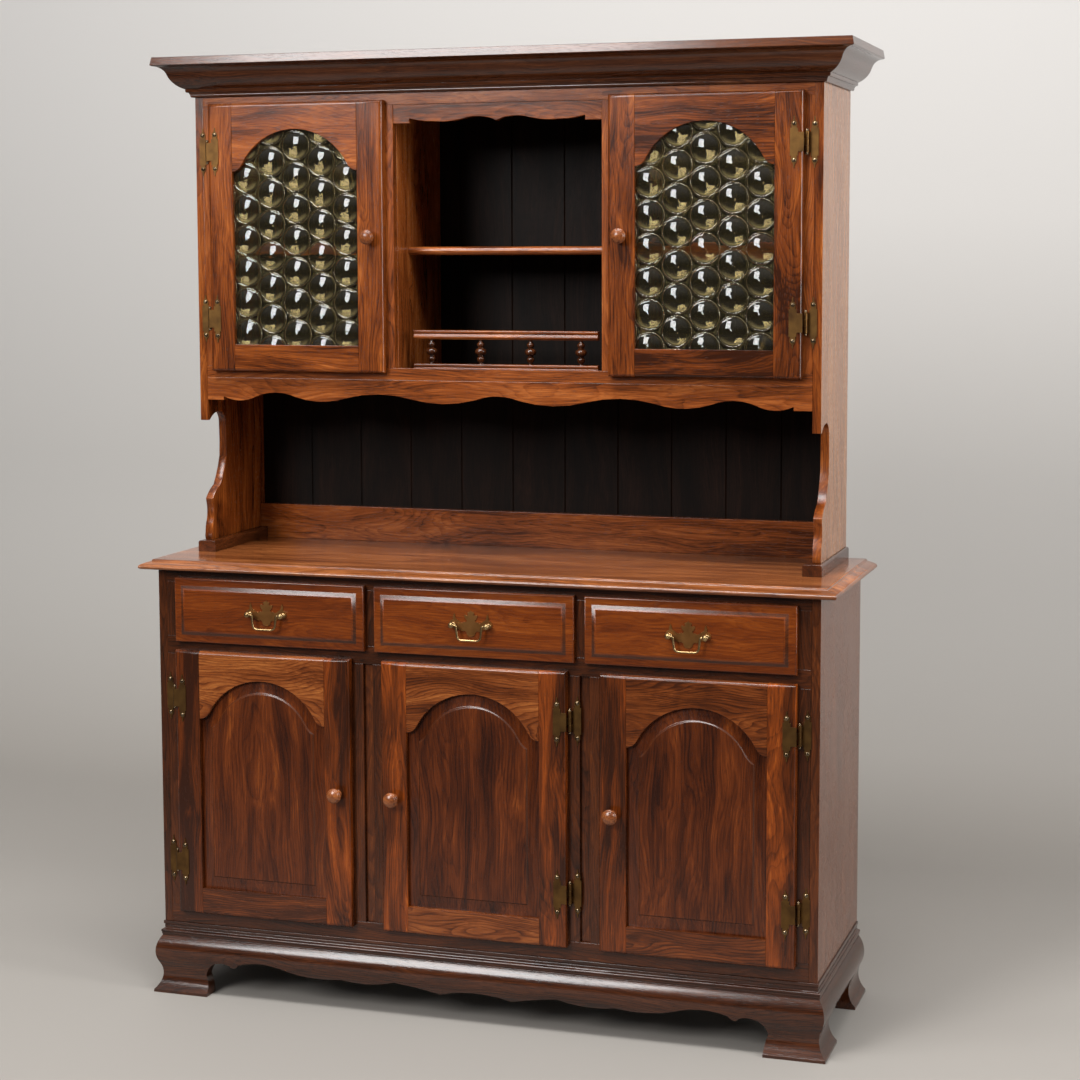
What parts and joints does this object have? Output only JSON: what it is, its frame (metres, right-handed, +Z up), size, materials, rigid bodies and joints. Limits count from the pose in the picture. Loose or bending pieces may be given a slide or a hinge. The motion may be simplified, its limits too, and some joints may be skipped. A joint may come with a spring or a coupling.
{
  "type": "dresser with hutch",
  "caption": "Stained wood dresser: cupboards and drawers below, hutch with bull's-eye glass doors, shelves and plate gallery above.",
  "frame": {"origin": "centre of the overall footprint at floor level", "axes": "+Z up, front towards -Y, +X to the right seen from the front"},
  "size_m": [1.507, 0.489, 2.007],
  "materials": {
    "dark_stained_wood": "satin",
    "drawer_and_inside_wood": "matte",
    "turned_knob_wood": "satin",
    "antique_brass": "aged satin",
    "bullseye_glass": "gloss"
  },
  "bodies": {
    "case": {"base_sides": "dark_stained_wood", "base_bottom": "dark_stained_wood", "base_back": "drawer_and_inside_wood", "base_frame_rails": "dark_stained_wood", "base_frame_stiles": "dark_stained_wood", "base_partitions": "dark_stained_wood", "base_shelves": "dark_stained_wood", "drawer_runners": "drawer_and_inside_wood", "door_catches": "antique_brass", "worktop": "dark_stained_wood", "plinth_cap_moulding": "dark_stained_wood", "plinth_front": "dark_stained_wood", "plinth_sides": "dark_stained_wood", "plinth_back_rail_and_blocks": "drawer_and_inside_wood", "hutch_sides": "dark_stained_wood", "hutch_runners": "dark_stained_wood", "hutch_decks": "dark_stained_wood", "hutch_dividers": "dark_stained_wood", "hutch_shelves": "dark_stained_wood", "hutch_face_frame": "dark_stained_wood", "lower_valance": "dark_stained_wood", "centre_valance": "dark_stained_wood", "hutch_back_boards": "dark_stained_wood", "niche_back_rail": "dark_stained_wood", "plate_gallery": "dark_stained_wood", "cornice": "dark_stained_wood", "hinge_frame_leaves_and_pins": "antique_brass"},
    "left_drawer": {"left_drawer_front": "dark_stained_wood", "left_drawer_box": "drawer_and_inside_wood", "left_pull_plate_and_posts": "antique_brass"},
    "left_pull_bail": {"left_pull_bail": "antique_brass"},
    "middle_drawer": {"middle_drawer_front": "dark_stained_wood", "middle_drawer_box": "drawer_and_inside_wood", "middle_pull_plate_and_posts": "antique_brass"},
    "middle_pull_bail": {"middle_pull_bail": "antique_brass"},
    "right_drawer": {"right_drawer_front": "dark_stained_wood", "right_drawer_box": "drawer_and_inside_wood", "right_pull_plate_and_posts": "antique_brass"},
    "right_pull_bail": {"right_pull_bail": "antique_brass"},
    "left_base_door": {"left_base_door_frame": "dark_stained_wood", "left_base_door_raised_panel": "dark_stained_wood", "left_base_door_knob": "turned_knob_wood", "left_base_door_hinge_leaves": "antique_brass"},
    "middle_base_door": {"middle_base_door_frame": "dark_stained_wood", "middle_base_door_raised_panel": "dark_stained_wood", "middle_base_door_knob": "turned_knob_wood", "middle_base_door_hinge_leaves": "antique_brass"},
    "right_base_door": {"right_base_door_frame": "dark_stained_wood", "right_base_door_raised_panel": "dark_stained_wood", "right_base_door_knob": "turned_knob_wood", "right_base_door_hinge_leaves": "antique_brass"},
    "left_glass_door": {"left_glass_door_frame": "dark_stained_wood", "left_glass_door_bullseye_glass": "bullseye_glass", "left_glass_door_knob": "turned_knob_wood", "left_glass_door_hinge_leaves": "antique_brass"},
    "right_glass_door": {"right_glass_door_frame": "dark_stained_wood", "right_glass_door_bullseye_glass": "bullseye_glass", "right_glass_door_knob": "turned_knob_wood", "right_glass_door_hinge_leaves": "antique_brass"}
  },
  "joints": [
    {"name": "left_drawer_slide", "type": "slide", "parent": "case", "child": "left_drawer", "axis": [0, -1, 0], "range_m": [0, 0.3]},
    {"name": "left_pull_bail_swing", "type": "hinge", "parent": "left_drawer", "child": "left_pull_bail", "pos_m": [-0.4545, -0.229, 0.8395], "axis": [-1, 0, 0], "range_deg": [-15, 110]},
    {"name": "middle_drawer_slide", "type": "slide", "parent": "case", "child": "middle_drawer", "axis": [0, -1, 0], "range_m": [0, 0.3]},
    {"name": "middle_pull_bail_swing", "type": "hinge", "parent": "middle_drawer", "child": "middle_pull_bail", "pos_m": [0, -0.229, 0.8395], "axis": [-1, 0, 0], "range_deg": [-15, 110]},
    {"name": "right_drawer_slide", "type": "slide", "parent": "case", "child": "right_drawer", "axis": [0, -1, 0], "range_m": [0, 0.3]},
    {"name": "right_pull_bail_swing", "type": "hinge", "parent": "right_drawer", "child": "right_pull_bail", "pos_m": [0.4545, -0.229, 0.8395], "axis": [-1, 0, 0], "range_deg": [-15, 110]},
    {"name": "left_base_door_hinge", "type": "hinge", "parent": "case", "child": "left_base_door", "pos_m": [-0.6765, -0.2035, 0.468], "axis": [0, 0, -1], "range_deg": [0, 110]},
    {"name": "middle_base_door_hinge", "type": "hinge", "parent": "case", "child": "middle_base_door", "pos_m": [0.206, -0.2035, 0.468], "axis": [0, 0, 1], "range_deg": [0, 110]},
    {"name": "right_base_door_hinge", "type": "hinge", "parent": "case", "child": "right_base_door", "pos_m": [0.6765, -0.2035, 0.468], "axis": [0, 0, 1], "range_deg": [0, 110]},
    {"name": "left_glass_door_hinge", "type": "hinge", "parent": "case", "child": "left_glass_door", "pos_m": [-0.6515, -0.055, 1.625], "axis": [0, 0, -1], "range_deg": [0, 110]},
    {"name": "right_glass_door_hinge", "type": "hinge", "parent": "case", "child": "right_glass_door", "pos_m": [0.6515, -0.055, 1.625], "axis": [0, 0, 1], "range_deg": [0, 110]}
  ]
}
